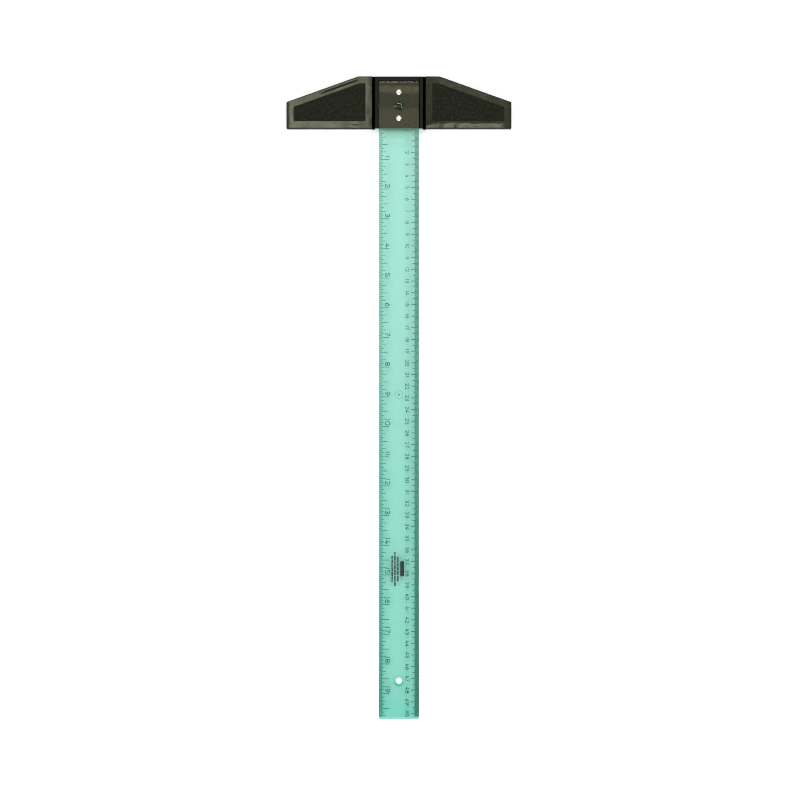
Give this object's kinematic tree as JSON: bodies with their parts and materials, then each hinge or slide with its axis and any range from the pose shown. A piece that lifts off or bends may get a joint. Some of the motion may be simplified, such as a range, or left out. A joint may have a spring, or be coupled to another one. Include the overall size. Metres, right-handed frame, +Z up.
{
  "type": "t square",
  "caption": "Flat T-square: clear tinted straight blade with inch and centimetre scales, riveted at a right angle to a black head with sloping shoulders.",
  "frame": {"origin": "middle of the overall outline, on the plane that the underside of the head rests on", "axes": "+X across the head, +Y along the blade from the tip towards the head, +Z up from the printed face. The working edge of the head, which is the zero of both scales, is the plane Y = 0.230 m."},
  "size_m": [0.1924, 0.55, 0.009],
  "materials": {
    "head_plastic": "black moulded plastic, polished border and finely textured grip fields",
    "blade_plastic": "clear teal plastic, polished",
    "rivet_metal": "bright domed",
    "washer_metal": "plain"
  },
  "bodies": {
    "root": {"head": "head_plastic", "blade": "blade_plastic", "upper_rivet": "rivet_metal", "lower_rivet": "rivet_metal", "upper_washer": "washer_metal", "lower_washer": "washer_metal"}
  },
  "joints": []
}
